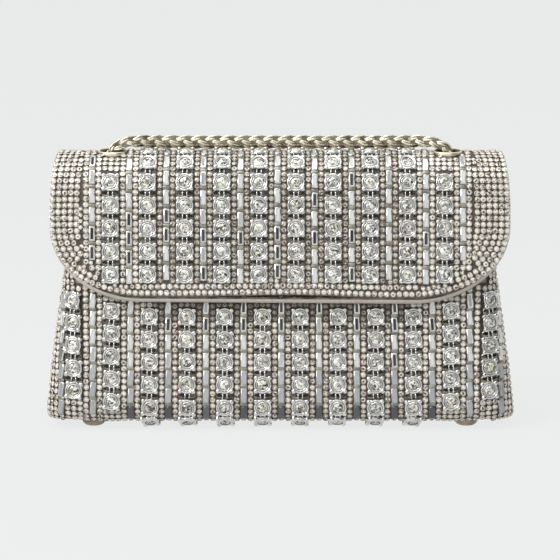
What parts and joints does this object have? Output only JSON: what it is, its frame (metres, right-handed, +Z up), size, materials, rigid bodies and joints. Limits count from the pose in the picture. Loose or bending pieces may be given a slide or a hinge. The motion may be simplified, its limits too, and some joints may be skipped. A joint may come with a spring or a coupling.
{
  "type": "shoulder bag",
  "caption": "Structured evening shoulder bag with a rounded fold-over flap, crystal-covered shell, plaited chain strap through crest eyelets, magnetic snap and small feet.",
  "frame": {"origin": "centre of the bag's footprint, on the surface that its feet stand on", "axes": "+X along the bag's width, to the viewer's right when the flap faces the viewer; the flap's front faces -Y; +Z up"},
  "size_m": [0.237, 0.0619, 0.1464],
  "materials": {
    "champagne_leather": "satin",
    "taupe_leather": "soft matte",
    "lining_cloth": "woven",
    "board": "pressed board",
    "crystal_mesh": "champagne stones in metal cups",
    "silver_setting": "bright silver settings with clear stones",
    "pale_gold": "pale gold plate",
    "antique_metal": "antique"
  },
  "bodies": {
    "bag_body": {"front_panel": "champagne_leather", "back_panel": "champagne_leather", "left_gusset": "champagne_leather", "right_gusset": "champagne_leather", "base_panel": "champagne_leather", "front_stiffener": "board", "back_stiffener": "board", "base_board": "board", "lining": "lining_cloth", "mouth_binding": "taupe_leather", "foot_front_left": "antique_metal", "foot_front_right": "antique_metal", "foot_back_left": "antique_metal", "foot_back_right": "antique_metal", "front_crystal_mesh": "crystal_mesh", "back_crystal_mesh": "crystal_mesh", "front_crystal_chain_01": "silver_setting", "front_crystal_chain_02": "silver_setting", "front_crystal_chain_03": "silver_setting", "front_crystal_chain_04": "silver_setting", "front_crystal_chain_05": "silver_setting", "front_crystal_chain_06": "silver_setting", "front_crystal_chain_07": "silver_setting", "front_crystal_chain_08": "silver_setting", "front_crystal_chain_09": "silver_setting", "front_crystal_chain_10": "silver_setting", "front_crystal_chain_11": "silver_setting", "front_crystal_chain_12": "silver_setting", "magnet_socket": "antique_metal", "magnet_socket_washer": "antique_metal", "ring_tab_left": "taupe_leather", "ring_tab_right": "taupe_leather", "strap_end_left": "pale_gold", "strap_end_right": "pale_gold", "strap_bight": "pale_gold"},
    "flap": {"flap_shell": "taupe_leather", "flap_board": "board", "flap_lining": "lining_cloth", "flap_binding": "taupe_leather", "flap_crystal_mesh": "crystal_mesh", "flap_crystal_chain_01": "silver_setting", "flap_crystal_chain_02": "silver_setting", "flap_crystal_chain_03": "silver_setting", "flap_crystal_chain_04": "silver_setting", "flap_crystal_chain_05": "silver_setting", "flap_crystal_chain_06": "silver_setting", "flap_crystal_chain_07": "silver_setting", "flap_crystal_chain_08": "silver_setting", "flap_crystal_chain_09": "silver_setting", "flap_crystal_chain_10": "silver_setting", "eyelet_left": "pale_gold", "eyelet_right": "pale_gold", "eyelet_washer_left": "pale_gold", "eyelet_washer_right": "pale_gold", "magnet_stud": "antique_metal", "magnet_stud_washer": "antique_metal", "strap_top_front": "pale_gold", "strap_top_back": "pale_gold"},
    "d_ring_left": {"d_ring_left": "pale_gold"},
    "d_ring_right": {"d_ring_right": "pale_gold"}
  },
  "joints": [
    {"name": "flap_hinge", "type": "hinge", "parent": "bag_body", "child": "flap", "pos_m": [0, 0.016, 0.1185], "axis": [-1, 0, 0], "range_deg": [0, 150]},
    {"name": "d_ring_left_swing", "type": "hinge", "parent": "bag_body", "child": "d_ring_left", "pos_m": [-0.09866, 0, 0.096], "axis": [0, -1, 0], "range_deg": [-12, 60]},
    {"name": "d_ring_right_swing", "type": "hinge", "parent": "bag_body", "child": "d_ring_right", "pos_m": [0.09866, 0, 0.096], "axis": [0, 1, 0], "range_deg": [-12, 60]}
  ]
}
